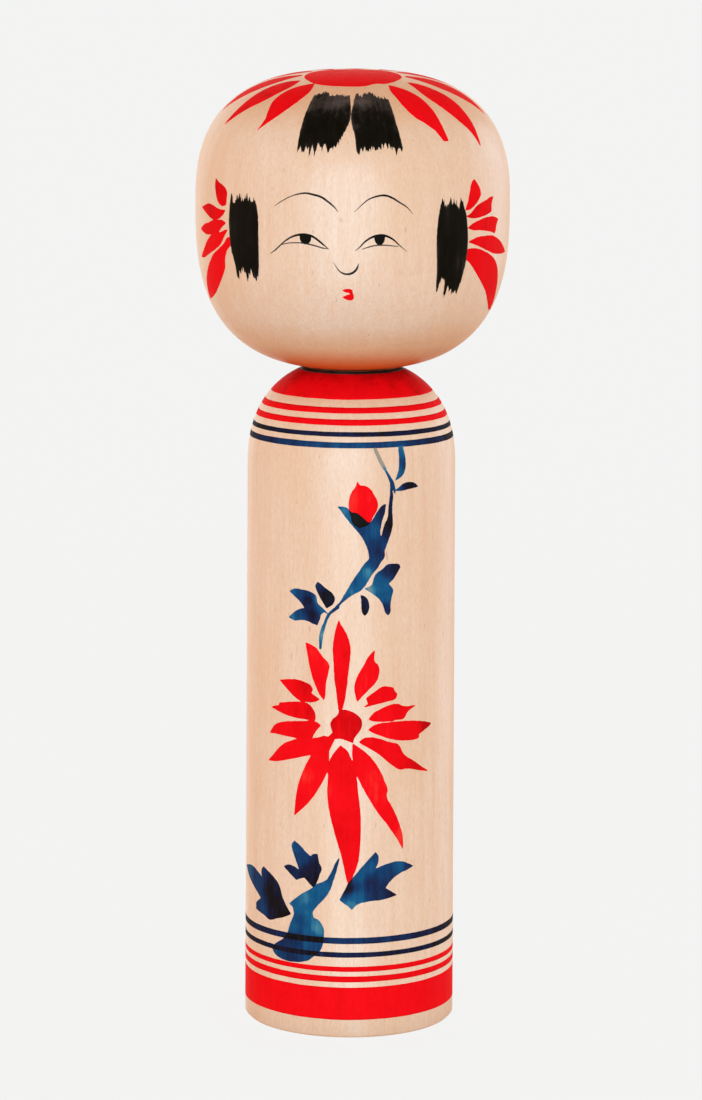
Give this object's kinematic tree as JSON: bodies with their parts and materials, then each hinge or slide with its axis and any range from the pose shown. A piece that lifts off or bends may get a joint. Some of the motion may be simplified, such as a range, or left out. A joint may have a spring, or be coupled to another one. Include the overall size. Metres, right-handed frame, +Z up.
{
  "type": "kokeshi doll",
  "caption": "Turned wooden kokeshi doll with a round head that turns on a straight, slightly flared body, painted with a face, lathe bands and a flower.",
  "frame": {"origin": "centre of the flat foot", "axes": "+Z up along the turning axis, the face looks along -Y"},
  "size_m": [0.0788, 0.0788, 0.242],
  "materials": {
    "body_wood": "pale fine-grained turned wood under a thin coat of wax",
    "head_wood": "pale fine-grained turned wood under a thin coat of wax",
    "red_dye": "red dye soaked into the wood, waxed",
    "blue_dye": "indigo dye soaked into the wood, waxed",
    "black_ink": "black ink on the wood, waxed"
  },
  "bodies": {
    "body": {"body": "body_wood"},
    "head": {"head": "head_wood"}
  },
  "joints": [
    {"name": "head_turn", "type": "hinge", "parent": "body", "child": "head", "pos_m": [0, 0, 0.1676], "axis": [0, 0, 1], "continuous": true}
  ]
}
